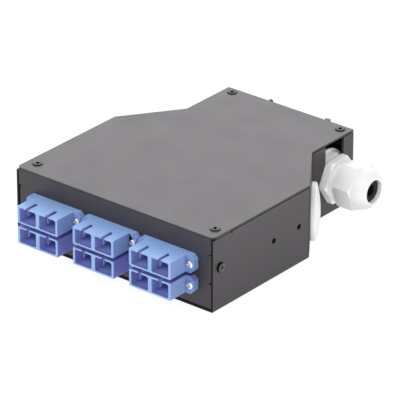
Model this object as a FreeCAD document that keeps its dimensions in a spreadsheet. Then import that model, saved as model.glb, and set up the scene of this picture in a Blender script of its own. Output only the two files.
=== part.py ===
import FreeCAD, Part
import math
import os
import Sketcher

# Fibre termination box for a 35 mm top-hat rail.
# Frame: +Z up, X across the box, -Y out of the front panel, +Y to the rail at the back.
# Origin: centre of the underside of the tray floor.  Millimetres throughout.

os.makedirs("parts", exist_ok=True)
doc = FreeCAD.newDocument("fibre_box")
V = FreeCAD.Vector

# ---------------------------------------------------------------- driving dimensions
TABLE = [
    # case
    ("case_width", 125.0), ("case_depth", 139.0), ("wall_top", 39.2), ("sheet", 1.2), ("cover_sheet", 0.8),
    ("side_len", 74.55), ("taper_in", 22.06), ("taper_len", 30.43),
    ("bend_out", 1.2), ("seam", 0.4), ("seam_low", 2.4), ("lid_gap", 0.5),
    ("cover_corner", 0.8), ("cover_front", 3.0), ("corner_bend", 0.6), ("cover_hole", 1.7),
    ("cov_fx", 56.4), ("cov_fy", 8.8), ("cov_rx", 34.8), ("cov_ry", 4.2),
    ("tab_len", 10.0), ("tab_a", 2.6), ("tab_b", 13.6), ("tab_relief", 0.8), ("tab_deep", 1.6), ("tab_front", 0.6), ("tab_bend", 1.1),
    ("side_hole", 1.5), ("side_hole_a", 46.6), ("side_hole_b", 66.25), ("side_hole_z", 20.7),
    ("pscrew_y", 5.3), ("pscrew_z", 22.85), ("clear_hole", 1.7), ("clinch_hole", 2.1),
    # front panel
    ("panel_gap", 0.3), ("panel_low", 1.8), ("panel_top", 39.1),
    ("ptab_low", 15.65), ("ptab_top", 30.0), ("ptab_len", 12.0), ("relief", 0.8), ("relief_len", 1.5),
    # adapters
    ("ad_pitch", 35.7), ("ad_row_low", 12.95), ("ad_row_top", 24.15),
    ("ad_flange_w", 35.0), ("ad_flange_h", 9.44), ("ad_flange_half", 1.5), ("ad_flange_front", 2.0), ("ad_ear_cut", 2.0),
    ("ad_body_w", 25.8), ("ad_body_h", 9.3), ("ad_front", 11.85), ("ad_rear", 12.3),
    ("ad_port_x", 6.35), ("ad_port_w", 10.5), ("ad_port_h", 7.4),
    ("ad_key_w", 2.0), ("ad_key_len", 7.5), ("ad_hole_x", 15.3), ("ad_hole", 1.15),
    ("ad_cut_w", 26.0), ("ad_cut_h", 9.42), ("ad_edge", 0.45),
    ("sl_half", 5.7), ("sl_out", 1.6), ("sl_in", 1.25), ("sl_slit", 0.5),
    ("ho_out", 2.45), ("ho_in", 1.66), ("ho_half", 6.3), ("ho_lip", 1.4), ("ho_plate", 1.6),
    ("hook_x", 4.1), ("hook_len", 6.2), ("hook_thick", 0.9), ("hook_high", 3.0), ("hook_bite", 0.7),
    # gland
    ("gl_y", 53.55), ("gl_z", 19.0), ("gl_hex_len", 4.4), ("gl_hex_flat", 22.3), ("gl_thread", 7.35),
    ("gl_shank", 12.0), ("gl_bore", 4.6), ("gl_slot", 7.45),
    ("gl_gap", 3.3), ("gl_neck", 8.9), ("gl_nut_len", 17.4), ("gl_nut_bore", 9.3), ("gl_mouth", 6.1), ("gl_mouth_deep", 2.0),
    ("gl_seal_hole", 3.0), ("gl_lock_len", 5.0), ("gl_lock_hex", 3.4), ("gl_collar", 14.1),
    # blanking plug
    ("pl_rad", 14.75), ("pl_rim", 3.0), ("pl_dome", 4.9), ("pl_hole", 12.6), ("pl_z", 17.05), ("pl_shift", 0.8),
    # rail clip
    ("cl_low", 2.0), ("cl_top", 36.6), ("cl_left", 19.2), ("cl_right", 13.0), ("cl_seat", 5.5),
    ("cl_arm_in", 18.0), ("cl_lip_in", 16.9), ("cl_lip_low", 6.8), ("cl_lip_top", 8.0),
    ("la_gap", 0.4), ("la_left", 8.0), ("la_tab", 27.0), ("la_travel", 4.0),
    ("rv_x", 4.0), ("rv_dz", 9.0), ("rv_shank", 1.5), ("rv_head", 2.7),
    ("sp_left", 3.9), ("sp_right", 8.9), ("sp_coil", 0.95), ("sp_wire", 0.2), ("sp_turns", 9.0),
    # splice tray
    ("st_w", 72.0), ("st_len", 56.0), ("st_high", 7.0), ("st_y", 10.9), ("st_up", 4.0),
    ("st_corner", 12.0), ("st_wall", 1.2), ("st_bx", 31.0), ("st_by", 23.0), ("st_boss", 3.2),
    ("lid_thick", 1.2),
]

sheet_obj = doc.addObject("Spreadsheet::Sheet", "Dims")
for row, (alias, value) in enumerate(TABLE, start=1):
    sheet_obj.set("A%d" % row, alias)
    sheet_obj.set("B%d" % row, repr(value))
    sheet_obj.setAlias("B%d" % row, alias)
doc.recompute()


class Q:
    """A length that knows its value and the sheet expression it comes from."""

    def __init__(self, v, e):
        self.v = float(v)
        self.e = e

    @staticmethod
    def of(o):
        return o if isinstance(o, Q) else Q(o, "(%r)" % float(o))

    def __add__(self, o):
        o = Q.of(o)
        return Q(self.v + o.v, "(%s + %s)" % (self.e, o.e))

    def __radd__(self, o):
        return Q.of(o) + self

    def __sub__(self, o):
        o = Q.of(o)
        return Q(self.v - o.v, "(%s - %s)" % (self.e, o.e))

    def __rsub__(self, o):
        return Q.of(o) - self

    def __mul__(self, o):
        o = Q.of(o)
        return Q(self.v * o.v, "(%s * %s)" % (self.e, o.e))

    def __rmul__(self, o):
        return Q.of(o) * self

    def __truediv__(self, o):
        o = Q.of(o)
        return Q(self.v / o.v, "(%s / %s)" % (self.e, o.e))

    def __neg__(self):
        return Q(-self.v, "(0 - %s)" % self.e)


def qsqrt(a):
    return Q(math.sqrt(a.v), "sqrt(%s)" % a.e)


class Bag:
    pass


D = Bag()
for alias, value in TABLE:
    setattr(D, alias, Q(sheet_obj.get(alias), "Dims." + alias))

NODES = []

# ---------------------------------------------------------------- small builders


def new_body(label, node=True):
    b = doc.addObject("PartDesign::Body", label)
    b.Label = label
    if node:
        NODES.append(b)
    return b


def origin_plane(b, role):
    for f in b.Origin.OriginFeatures:
        if f.Role == role:
            return f
    raise RuntimeError(role)


def new_sketch(b, plane, off=None, spin=None):
    """Sketch on one of the body's origin planes; off moves it along that plane's normal."""
    sk = b.newObject("Sketcher::SketchObject", b.Label + "_sk")
    sk.AttachmentSupport = [(origin_plane(b, plane + "_Plane"), "")]
    sk.MapMode = "FlatFace"
    if off is not None:
        off = Q.of(off)
        sk.AttachmentOffset = FreeCAD.Placement(V(0, 0, off.v), FreeCAD.Rotation())
        sk.setExpression("AttachmentOffset.Base.z", off.e)
    if spin is not None:
        sk.AttachmentOffset = spin
    return sk


def pin(sk, geo, pos, x, y):
    x, y = Q.of(x), Q.of(y)
    k = sk.addConstraint(Sketcher.Constraint("DistanceX", -1, 1, geo, pos, x.v))
    sk.setExpression("Constraints[%d]" % k, x.e)
    k = sk.addConstraint(Sketcher.Constraint("DistanceY", -1, 1, geo, pos, y.v))
    sk.setExpression("Constraints[%d]" % k, y.e)


def poly(sk, pts, arcs=None):
    """Closed profile through pts; arcs maps a segment's index to a radius, positive to bulge left of its direction."""
    arcs = arcs or {}
    pts = [(Q.of(a), Q.of(b)) for a, b in pts]
    n = len(pts)
    ends = []
    for i in range(n):
        a, b = pts[i], pts[(i + 1) % n]
        pa, pb = V(a[0].v, a[1].v, 0), V(b[0].v, b[1].v, 0)
        if i in arcs:
            r = Q.of(arcs[i])
            chord = pb - pa
            half = chord.Length / 2.0
            rad = abs(r.v)
            rise = rad - math.sqrt(rad * rad - half * half)
            side = V(-chord.y, chord.x, 0).normalize() * (rise if r.v > 0 else -rise)
            top_pt = (pa + pb) * 0.5 + side
            if r.v > 0:
                ends.append((sk.addGeometry(Part.Arc(pb, top_pt, pa), False), 2, 1))
            else:
                ends.append((sk.addGeometry(Part.Arc(pa, top_pt, pb), False), 1, 2))
        else:
            g = sk.addGeometry(Part.LineSegment(pa, pb), False)
            ends.append((g, 1, 2))
    for i in range(n):
        g, _, last = ends[i]
        h, first, _ = ends[(i + 1) % n]
        sk.addConstraint(Sketcher.Constraint("Coincident", g, last, h, first))
    for i in range(n):
        pin(sk, ends[i][0], ends[i][1], *pts[i])
    for i, r in arcs.items():
        r = Q.of(r)
        k = sk.addConstraint(Sketcher.Constraint("Radius", ends[i][0], abs(r.v)))
        sk.setExpression("Constraints[%d]" % k, r.e if r.v > 0 else "(0 - %s)" % r.e)


def rect(sk, x0, y0, x1, y1):
    poly(sk, [(x0, y0), (x1, y0), (x1, y1), (x0, y1)])


def rrect(sk, x0, y0, x1, y1, r):
    poly(sk, [(x0 + r, y0), (x1 - r, y0), (x1, y0 + r), (x1, y1 - r), (x1 - r, y1), (x0 + r, y1), (x0, y1 - r), (x0, y0 + r)],
         {1: -r, 3: -r, 5: -r, 7: -r})


def circle(sk, x, y, r):
    x, y, r = Q.of(x), Q.of(y), Q.of(r)
    g = sk.addGeometry(Part.Circle(V(x.v, y.v, 0), V(0, 0, 1), r.v), False)
    k = sk.addConstraint(Sketcher.Constraint("Radius", g, r.v))
    sk.setExpression("Constraints[%d]" % k, r.e)
    pin(sk, g, 3, x, y)


def hexagon(sk, flat, turn_deg):
    """Hexagon about the sketch origin, flat = distance across flats."""
    rc = Q.of(flat) * (1.0 / math.sqrt(3.0))
    pts = []
    for i in range(6):
        a = math.radians(turn_deg + 60.0 * i)
        pts.append((rc * math.cos(a), rc * math.sin(a)))
    poly(sk, pts)


def pad(b, sk, length, back=False):
    f = b.newObject("PartDesign::Pad", b.Label + "_pad")
    f.Profile = sk
    length = Q.of(length)
    f.Length = length.v
    f.setExpression("Length", length.e)
    f.Reversed = back
    doc.recompute()
    return f


def pocket(b, sk, length, back=False):
    f = b.newObject("PartDesign::Pocket", b.Label + "_cut")
    f.Profile = sk
    length = Q.of(length)
    f.Length = length.v
    f.setExpression("Length", length.e)
    f.Reversed = back
    doc.recompute()
    return f


def spin(b, sk, axis="V_Axis", cut=False):
    f = b.newObject("PartDesign::Groove" if cut else "PartDesign::Revolution", b.Label + "_turn")
    f.Profile = sk
    f.ReferenceAxis = (sk, [axis])
    f.Angle = 360.0
    doc.recompute()
    return f


def round_edges(b, radius, keep):
    """Fillet the edges of the body's last feature that keep() accepts."""
    tip = b.Tip
    names = ["Edge%d" % (i + 1) for i, e in enumerate(tip.Shape.Edges) if keep(e)]
    if not names:
        raise RuntimeError("no edge to round on " + b.Label)
    f = b.newObject("PartDesign::Fillet", b.Label + "_round")
    f.Base = (tip, names)
    radius = Q.of(radius)
    f.Radius = radius.v
    f.setExpression("Radius", radius.e)
    doc.recompute()
    return f


def bevel_edges(b, size, keep):
    tip = b.Tip
    names = ["Edge%d" % (i + 1) for i, e in enumerate(tip.Shape.Edges) if keep(e)]
    if not names:
        raise RuntimeError("no edge to bevel on " + b.Label)
    f = b.newObject("PartDesign::Chamfer", b.Label + "_bevel")
    f.Base = (tip, names)
    size = Q.of(size)
    f.Size = size.v
    f.setExpression("Size", size.e)
    doc.recompute()
    return f


def along(e, axis):
    if e.Curve.TypeId != "Part::GeomLine":
        return False
    d = e.Vertexes[-1].Point - e.Vertexes[0].Point
    return abs(abs(d.normalize().dot(axis)) - 1.0) < 1e-6


def mid(e):
    return e.valueAt((e.FirstParameter + e.LastParameter) / 2.0)


def place(obj, x, y, z, rot=None):
    x, y, z = Q.of(x), Q.of(y), Q.of(z)
    obj.Placement = FreeCAD.Placement(V(x.v, y.v, z.v), rot or FreeCAD.Rotation())
    for key, q in (("x", x), ("y", y), ("z", z)):
        obj.setExpression("Placement.Base." + key, q.e)


def copies(label, master, spots):
    """A node made of separate copies of one modelled piece: spots = [(x, y, z, rotation)]."""
    links = []
    for x, y, z, rot in spots:
        lk = doc.addObject("App::Link", label + "_copy")
        lk.LinkedObject = master
        lk.LinkTransform = False
        place(lk, x, y, z, rot)
        links.append(lk)
    c = doc.addObject("Part::Compound", label)
    c.Links = links
    c.Label = label
    NODES.append(c)
    return c


UP = FreeCAD.Rotation()
TO_PLUS_X = FreeCAD.Rotation(V(0, 1, 0), 90)        # local Z points to +X
TO_MINUS_X = FreeCAD.Rotation(V(0, 1, 0), -90)      # local Z points to -X
TO_MINUS_Y = FreeCAD.Rotation(V(1, 0, 0), 90)       # local Z points to -Y
TO_PLUS_Y = FreeCAD.Rotation(V(1, 0, 0), -90)       # local Z points to +Y
X_AX, Y_AX, Z_AX = V(1, 0, 0), V(0, 1, 0), V(0, 0, 1)

# ---------------------------------------------------------------- shared positions
t = D.sheet
hw = D.case_width / 2.0
yf = -(D.case_depth / 2.0)
yr = D.case_depth / 2.0
y1 = yf + D.side_len
y2 = y1 + D.taper_len
xr = hw - D.taper_in
slant = qsqrt(D.taper_in * D.taper_in + D.taper_len * D.taper_len)
yc_in = y1 - t * (slant - D.taper_len) / D.taper_in
yd_in = y1 + (D.taper_len * (D.taper_in + t) - t * slant) / D.taper_in
nx, ny = D.taper_len / slant, D.taper_in / slant
top = D.wall_top
rim_z = top - D.lid_gap                       # top edge of the walls, just clear of the cover
plug_x = (hw + xr) / 2.0 + D.pl_shift * ny
plug_y = (y1 + y2) / 2.0 - D.pl_shift * nx

# ---------------------------------------------------------------- base tray: one folded sheet
b = new_body("base_tray")
sk = new_sketch(b, "XY")
poly(sk, [(hw, yf), (hw, y1), (xr, y2), (xr, yr), (-xr, yr), (-xr, y2), (-hw, y1), (-hw, yf)])
pad(b, sk, rim_z)
round_edges(b, D.corner_bend, lambda e: along(e, Z_AX) and abs(mid(e).y - yr.v) < 1e-4)
round_edges(b, D.bend_out, lambda e: abs(mid(e).z) < 1e-6 and mid(e).y > yf.v + 0.1)
sk = new_sketch(b, "XY", rim_z)
poly(sk, [(hw - t, yf - 1.0), (hw - t, yc_in), (xr - t, yd_in), (xr - t, yr - t),
          (-(xr - t), yr - t), (-(xr - t), yd_in), (-(hw - t), yc_in), (-(hw - t), yf - 1.0)])
pocket(b, sk, rim_z - t)
# open corner seams: side/angled and angled/rear-side walls
for sgn in (1.0, -1.0):
    sk = new_sketch(b, "XY", top + 1.0)
    rect(sk, (hw - t - 0.5) * sgn, y1 - D.seam, (hw + 0.5) * sgn, y1)
    pocket(b, sk, top + 1.0 - D.seam_low)
    sk = new_sketch(b, "XY", top + 1.0)
    rect(sk, (xr - t - 0.3) * sgn, y2 + 0.05, (xr + 0.3) * sgn, y2 + 0.05 + D.seam)
    pocket(b, sk, top + 1.0 - D.seam_low)
# screw tabs folded in at the top of the side walls and of the rear wall, with a relief cut at each end
for sgn in (1.0, -1.0):
    sk = new_sketch(b, "XY", top - t)
    ya, yb = yf + D.tab_a, yf + D.tab_b
    xa = hw - t - D.tab_len
    poly(sk, [(hw * sgn, ya), (hw * sgn, yb), ((xa + 2.0) * sgn, yb),
              (xa * sgn, yb - 2.0), (xa * sgn, ya + 2.0), ((xa + 2.0) * sgn, ya)])
    pad(b, sk, t)
    sk = new_sketch(b, "XY", top + 0.5)
    rect(sk, (hw - t - 0.02) * sgn, yf - 0.5 if sgn > 0 else ya - D.tab_relief, (hw + 0.5) * sgn, ya)
    pocket(b, sk, D.tab_front + 0.5)
    sk = new_sketch(b, "XY", top + 0.5)
    rect(sk, (hw - t - 0.02) * sgn, yb, (hw + 0.5) * sgn, yb + D.tab_relief)
    pocket(b, sk, D.tab_deep + 0.5)
    sk = new_sketch(b, "XY", top - t)
    xa, xb = D.cov_rx - 5.6, D.cov_rx + 3.2
    yl = yr - D.cov_ry - 4.4
    poly(sk, [(xa * sgn, yr), (xb * sgn, yr), (xb * sgn, yl + 1.5), ((xb - 1.5) * sgn, yl), ((xa + 1.5) * sgn, yl), (xa * sgn, yl + 1.5)])
    pad(b, sk, t)
    sk = new_sketch(b, "XY", top + 0.5)
    rect(sk, (xa - D.tab_relief) * sgn, yr - t - 0.02, xa * sgn, yr + 0.5)
    rect(sk, xb * sgn, yr - t - 0.02, (xb + D.tab_relief) * sgn, yr + 0.5)
    pocket(b, sk, D.tab_deep + 0.5)
round_edges(b, D.tab_bend, lambda e: abs(mid(e).z - top.v) < 1e-4
            and ((along(e, Y_AX) and abs(abs(mid(e).x) - hw.v) < 1e-4) or (along(e, X_AX) and abs(mid(e).y - yr.v) < 1e-4)))
sk = new_sketch(b, "XY", top + 0.5)
for sgn in (1.0, -1.0):
    circle(sk, D.cov_fx * sgn, yf + D.cov_fy, D.clinch_hole)
    circle(sk, D.cov_rx * sgn, yr - D.cov_ry, D.clinch_hole)
pocket(b, sk, t + 1.0)
# side holes and panel screw holes
sk = new_sketch(b, "YZ", hw + 0.5)
circle(sk, yf + D.side_hole_a, D.side_hole_z, D.side_hole)
circle(sk, yf + D.side_hole_b, D.side_hole_z, D.side_hole)
circle(sk, yf + D.pscrew_y, D.pscrew_z, D.clear_hole)
pocket(b, sk, t + 1.0)
sk = new_sketch(b, "YZ", -(hw + 0.5))
circle(sk, yf + D.pscrew_y, D.pscrew_z, D.clear_hole)
pocket(b, sk, t + 1.0, back=True)
# cable gland slot, open at the top
sk = new_sketch(b, "YZ", xr + 0.5)
circle(sk, D.gl_y, D.gl_z, D.gl_slot)
pocket(b, sk, t + 1.0)
sk = new_sketch(b, "YZ", xr + 0.5)
rect(sk, D.gl_y - D.gl_slot, D.gl_z, D.gl_y + D.gl_slot, top + 2.0)
pocket(b, sk, t + 1.0)
# round knock-out in the right angled wall for the blanking plug
ang = math.degrees(math.atan2(ny.v, nx.v))
turn = FreeCAD.Rotation(V(0, 0, 1), ang).multiply(TO_PLUS_X)
sk = new_sketch(b, "XY", None, FreeCAD.Placement(V((plug_x + nx * 1.0).v, (plug_y + ny * 1.0).v, D.pl_z.v), turn))
circle(sk, 0.0, 0.0, D.pl_hole)
pocket(b, sk, t + 2.5)
# floor holes for the standoffs, rear holes for the clip rivets
sk = new_sketch(b, "XY", t + 0.5)
for sx in (1.0, -1.0):
    for sy in (1.0, -1.0):
        circle(sk, D.st_bx * sx, D.st_y + D.st_by * sy, D.clinch_hole)
pocket(b, sk, t + 1.0)
zc = (D.cl_low + D.cl_top) / 2.0
sk = new_sketch(b, "XZ", -(yr + 0.5))
for sz in (1.0, -1.0):
    circle(sk, -D.rv_x, zc + D.rv_dz * sz, D.rv_shank)
pocket(b, sk, t + 1.0, back=True)

# ---------------------------------------------------------------- cover: flat sheet
b = new_body("top_cover")
sk = new_sketch(b, "XY", top)
poly(sk, [(hw, yf), (hw, y1), (xr, y2), (xr, yr), (-xr, yr), (-xr, y2), (-hw, y1), (-hw, yf)])
for sgn in (1.0, -1.0):
    circle(sk, D.cov_fx * sgn, yf + D.cov_fy, D.cover_hole)
    circle(sk, D.cov_rx * sgn, yr - D.cov_ry, D.cover_hole)
pad(b, sk, D.cover_sheet)
round_edges(b, D.cover_corner, lambda e: along(e, Z_AX) and abs(mid(e).y - yr.v) < 1e-3)
round_edges(b, D.cover_front, lambda e: along(e, Z_AX) and abs(mid(e).y - yf.v) < 1e-3)
round_edges(b, 0.3, lambda e: abs(mid(e).z - top.v - D.cover_sheet.v) < 1e-4
            and not (e.Curve.TypeId == "Part::GeomCircle" and abs(e.Curve.Radius - D.cover_hole.v) < 1e-3))

# ---------------------------------------------------------------- front panel with its two folded tabs
xp = hw - t - D.panel_gap
b = new_body("front_panel")
sk = new_sketch(b, "XZ", -yf)
rect(sk, -xp, D.panel_low, xp, D.panel_top)
pad(b, sk, t, back=True)
for sgn in (1.0, -1.0):
    sk = new_sketch(b, "XY", D.ptab_low)
    rect(sk, (xp - t) * sgn, yf, xp * sgn, yf + D.ptab_len)
    pad(b, sk, D.ptab_top - D.ptab_low)
sk = new_sketch(b, "XZ", -(yf - 0.5))
for sgn in (1.0, -1.0):
    rect(sk, (xp - D.relief_len) * sgn, D.ptab_low - D.relief, (xp + 0.5) * sgn, D.ptab_low)
    rect(sk, (xp - D.relief_len) * sgn, D.ptab_top, (xp + 0.5) * sgn, D.ptab_top + D.relief)
pocket(b, sk, t + 1.0)
round_edges(b, D.bend_out, lambda e: along(e, Z_AX) and abs(abs(mid(e).x) - xp.v) < 1e-4
            and abs(mid(e).y - yf.v) < 1e-4 and D.ptab_low.v < mid(e).z < D.ptab_top.v)
sk = new_sketch(b, "XZ", -(yf - 0.5))
for zz in (D.ad_row_low, D.ad_row_top):
    for k in (-1.0, 0.0, 1.0):
        cx = D.ad_pitch * k
        rect(sk, cx - D.ad_cut_w / 2.0, zz - D.ad_cut_h / 2.0, cx + D.ad_cut_w / 2.0, zz + D.ad_cut_h / 2.0)
        circle(sk, cx - D.ad_hole_x, zz, D.ad_hole)
        circle(sk, cx + D.ad_hole_x, zz, D.ad_hole)
pocket(b, sk, t + 1.0)
sk = new_sketch(b, "YZ", xp + 0.5)
circle(sk, yf + D.pscrew_y, D.pscrew_z, D.clinch_hole)
pocket(b, sk, t + 1.0)
sk = new_sketch(b, "YZ", -(xp + 0.5))
circle(sk, yf + D.pscrew_y, D.pscrew_z, D.clinch_hole)
pocket(b, sk, t + 1.0, back=True)

# ---------------------------------------------------------------- screws, rivets and clinch nuts


def pan_screw(label, head, high, shank, length, arm, deep):
    """Pan head with a cross recess, head seat at local z = 0, shank down."""
    s = new_body(label, node=False)
    k = new_sketch(s, "XZ")
    poly(k, [(0.0, high), (head, high), (head, 0.0), (shank, 0.0), (shank, 0.4 - length),
             (shank - 0.4, -length), (0.0, -length)])
    spin(s, k)
    round_edges(s, high * 0.72, lambda e: abs(mid(e).z - high) < 1e-6 and e.Curve.TypeId == "Part::GeomCircle")
    k = new_sketch(s, "XY", high + 0.2)
    w = arm * 0.23
    poly(k, [(w, w), (w, arm), (-w, arm), (-w, w), (-arm, w), (-arm, -w), (-w, -w), (-w, -arm),
             (w, -arm), (w, -w), (arm, -w), (arm, w)])
    pocket(s, k, deep + 0.2)
    return s


def clinch_nut(label, body_r, body_h, shank_r, shank_h, bore):
    """Clinch nut: shank up into the sheet from local z = 0, body hanging below."""
    s = new_body(label, node=False)
    k = new_sketch(s, "XZ")
    poly(k, [(bore, shank_h), (shank_r, shank_h), (shank_r, 0.0), (body_r, 0.0), (body_r, 0.4 - body_h),
             (body_r - 0.4, -body_h), (bore, -body_h)])
    spin(s, k)
    return s


m3 = pan_screw("screw_m3_master", 2.65, 1.1, 1.42, 6.4, 1.5, 0.8)
m3_low = pan_screw("screw_m3_low_master", 2.65, 0.55, 1.42, 6.0, 1.35, 0.95)
nut3 = clinch_nut("clinch_m3_master", 2.6, 2.2, 2.08, 1.0, 1.5)
zt = top + D.cover_sheet
copies("cover_screws", m3_low, [(D.cov_fx, yf + D.cov_fy, zt, UP), (-D.cov_fx, yf + D.cov_fy, zt, UP),
                            (D.cov_rx, yr - D.cov_ry, zt, UP), (-D.cov_rx, yr - D.cov_ry, zt, UP)])
copies("cover_clinch_nuts", nut3, [(D.cov_fx, yf + D.cov_fy, top - t, UP), (-D.cov_fx, yf + D.cov_fy, top - t, UP),
                                   (D.cov_rx, yr - D.cov_ry, top - t, UP), (-D.cov_rx, yr - D.cov_ry, top - t, UP)])
copies("panel_side_screws", m3, [(hw, yf + D.pscrew_y, D.pscrew_z, TO_PLUS_X),
                                 (-hw, yf + D.pscrew_y, D.pscrew_z, TO_MINUS_X)])
copies("panel_clinch_nuts", nut3, [(xp - t, yf + D.pscrew_y, D.pscrew_z, TO_PLUS_X),
                                   (-(xp - t), yf + D.pscrew_y, D.pscrew_z, TO_MINUS_X)])
m2 = pan_screw("screw_m2_master", 1.95, 1.25, 0.96, 7.2, 1.15, 0.75)
n2 = new_body("nut_m2_master", node=False)
sk = new_sketch(n2, "XY")
hexagon(sk, 4.0, 0.0)
circle(sk, 0.0, 0.0, 1.0)
pad(n2, sk, 1.6)
heads, nuts = [], []
for zz in (D.ad_row_top, D.ad_row_low):
    for k in (-1.0, 0.0, 1.0):
        for s in (-1.0, 1.0):
            heads.append((D.ad_pitch * k + D.ad_hole_x * s, yf - D.ad_flange_half - D.ad_flange_front, zz, TO_MINUS_Y))
            nuts.append((D.ad_pitch * k + D.ad_hole_x * s, yf + t, zz, TO_PLUS_Y))
copies("adapter_screws", m2, heads)
copies("adapter_nuts", n2, nuts)

# ---------------------------------------------------------------- duplex adapter, modelled once at local y = 0 on the panel face


def ears(k, half_w, half_h, cut):
    poly(k, [(half_w - cut, -half_h), (half_w, -half_h + cut), (half_w, half_h - cut), (half_w - cut, half_h),
             (-half_w + cut, half_h), (-half_w, half_h - cut), (-half_w, -half_h + cut), (-half_w + cut, -half_h)])


def shell(label, face, depth, flange_at, thick, front):
    """One half of an adapter: a flange half and a twin-port body standing out of it."""
    s = new_body(label, node=False)
    k = new_sketch(s, "XZ", -flange_at)
    ears(k, D.ad_flange_w / 2.0, D.ad_flange_h / 2.0, D.ad_ear_cut)
    pad(s, k, thick, back=True)
    k = new_sketch(s, "XZ", -face)
    rect(k, -(D.ad_body_w / 2.0), -(D.ad_body_h / 2.0), D.ad_body_w / 2.0, D.ad_body_h / 2.0)
    pad(s, k, depth + 0.2, back=front)
    bh = D.ad_body_h.v / 2.0
    round_edges(s, D.ad_edge, lambda e: along(e, Y_AX) and abs(abs(mid(e).x) - D.ad_body_w.v / 2.0) < 1e-4
                and abs(abs(mid(e).z) - bh) < 1e-4)
    k = new_sketch(s, "XZ", -(face - 0.5 if front else face + 0.5))
    for sg in (1.0, -1.0):
        rect(k, D.ad_port_x * sg - D.ad_port_w / 2.0, -(D.ad_port_h / 2.0),
             D.ad_port_x * sg + D.ad_port_w / 2.0, D.ad_port_h / 2.0)
    pocket(s, k, depth + 4.0, back=not front)
    k = new_sketch(s, "XY", D.ad_body_h / 2.0 + 0.3)
    for sg in (1.0, -1.0):
        if front:
            rect(k, D.ad_port_x * sg - D.ad_key_w / 2.0, face - 0.5, D.ad_port_x * sg + D.ad_key_w / 2.0, face + D.ad_key_len)
        else:
            rect(k, D.ad_port_x * sg - D.ad_key_w / 2.0, face - D.ad_key_len, D.ad_port_x * sg + D.ad_key_w / 2.0, face + 0.5)
    pocket(s, k, 1.6)
    k = new_sketch(s, "XZ", -(flange_at - 0.5))
    for sg in (1.0, -1.0):
        circle(k, D.ad_hole_x * sg, 0.0, D.ad_hole)
    pocket(s, k, thick + 1.0)
    return s


fl = D.ad_flange_half
ff = D.ad_flange_front
front_shell = shell("front_shell_master", -(fl + ff) - D.ad_front, D.ad_front, -(fl + ff), ff, True)
rear_shell = shell("rear_shell_master", D.ad_rear, D.ad_rear, -fl, fl, False)

# sleeve holder: plate, lipped tube and two pairs of latch hooks, one for each port
holder = new_body("holder_master", node=False)
ym = -fl
sk = new_sketch(holder, "XZ", -(ym - D.ho_plate / 2.0))
rect(sk, -(D.ad_port_w / 2.0) + 0.03, -(D.ad_port_h / 2.0) + 0.03, D.ad_port_w / 2.0 - 0.03, D.ad_port_h / 2.0 - 0.03)
pad(holder, sk, D.ho_plate, back=True)
sk = new_sketch(holder, "XZ", -(ym - D.ho_half))
circle(sk, 0.0, 0.0, D.ho_out)
pad(holder, sk, D.ho_half * 2.0, back=True)
for sg in (1.0, -1.0):
    sk = new_sketch(holder, "XY", -(D.hook_high / 2.0))
    hx = D.hook_x * sg
    ht = D.hook_thick * sg
    bite = D.hook_bite * sg
    y_a, y_b = ym - D.hook_len, ym + D.hook_len
    poly(sk, [(hx + ht, y_a + 0.5), (hx + ht, y_b - 0.5), (hx, y_b), (hx - bite, y_b - 1.0), (hx, y_b - 2.0),
              (hx, y_a + 2.0), (hx - bite, y_a + 1.0), (hx, y_a)])
    pad(holder, sk, D.hook_high)
sk = new_sketch(holder, "XZ", -(ym - D.ho_half - 0.5))
circle(sk, 0.0, 0.0, D.ho_lip)
pocket(holder, sk, D.ho_half * 2.0 + 1.0)
sk = new_sketch(holder, "XZ", -(ym - D.sl_half - 0.05))
circle(sk, 0.0, 0.0, D.ho_in)
pocket(holder, sk, D.sl_half * 2.0 + 0.1)

# ceramic split sleeve
sleeve = new_body("sleeve_master", node=False)
sk = new_sketch(sleeve, "XZ", -(ym - D.sl_half))
circle(sk, 0.0, 0.0, D.sl_out)
circle(sk, 0.0, 0.0, D.sl_in)
pad(sleeve, sk, D.sl_half * 2.0, back=True)
sk = new_sketch(sleeve, "XY", D.sl_out + 0.2)
rect(sk, -(D.sl_slit / 2.0), ym - D.sl_half - 0.5, D.sl_slit / 2.0, ym + D.sl_half + 0.5)
pocket(sleeve, sk, 1.0)

num = 0
for zz in (D.ad_row_top, D.ad_row_low):
    for k in (-1.0, 0.0, 1.0):
        num += 1
        cx = D.ad_pitch * k
        copies("adapter_%d_front_shell" % num, front_shell, [(cx, yf, zz, UP)])
        copies("adapter_%d_rear_shell" % num, rear_shell, [(cx, yf, zz, UP)])
        copies("adapter_%d_holders" % num, holder, [(cx - D.ad_port_x, yf, zz, UP), (cx + D.ad_port_x, yf, zz, UP)])
        copies("adapter_%d_sleeves" % num, sleeve, [(cx - D.ad_port_x, yf, zz, UP), (cx + D.ad_port_x, yf, zz, UP)])

# ---------------------------------------------------------------- cable gland, axis along +X
b = new_body("gland_body")
rc = D.gl_hex_flat / math.sqrt(3.0)
hl = D.gl_hex_len
x_end = hl + D.gl_gap + 12.4
sk = new_sketch(b, "XZ")
poly(sk, [(-D.gl_shank, D.gl_bore), (-D.gl_shank, D.gl_thread - 0.6), (0.6 - D.gl_shank, D.gl_thread), (0.0, D.gl_thread),
          (0.0, rc - 0.7), (0.4, rc), (hl - 0.9, rc), (hl, rc - 1.3), (hl, D.gl_neck + 0.7), (hl + 0.5, D.gl_neck), (hl + 11.0, D.gl_neck), (x_end, D.gl_neck - 2.9), (x_end, 5.2),
          (hl + 1.0, 5.2), (hl + 0.2, D.gl_bore)])
spin(b, sk, "H_Axis")
sk = new_sketch(b, "YZ", 0.0)
hexagon(sk, D.gl_hex_flat, 3.0)
circle(sk, 0.0, 0.0, rc + 3.0)
pocket(b, sk, hl, back=True)
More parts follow.
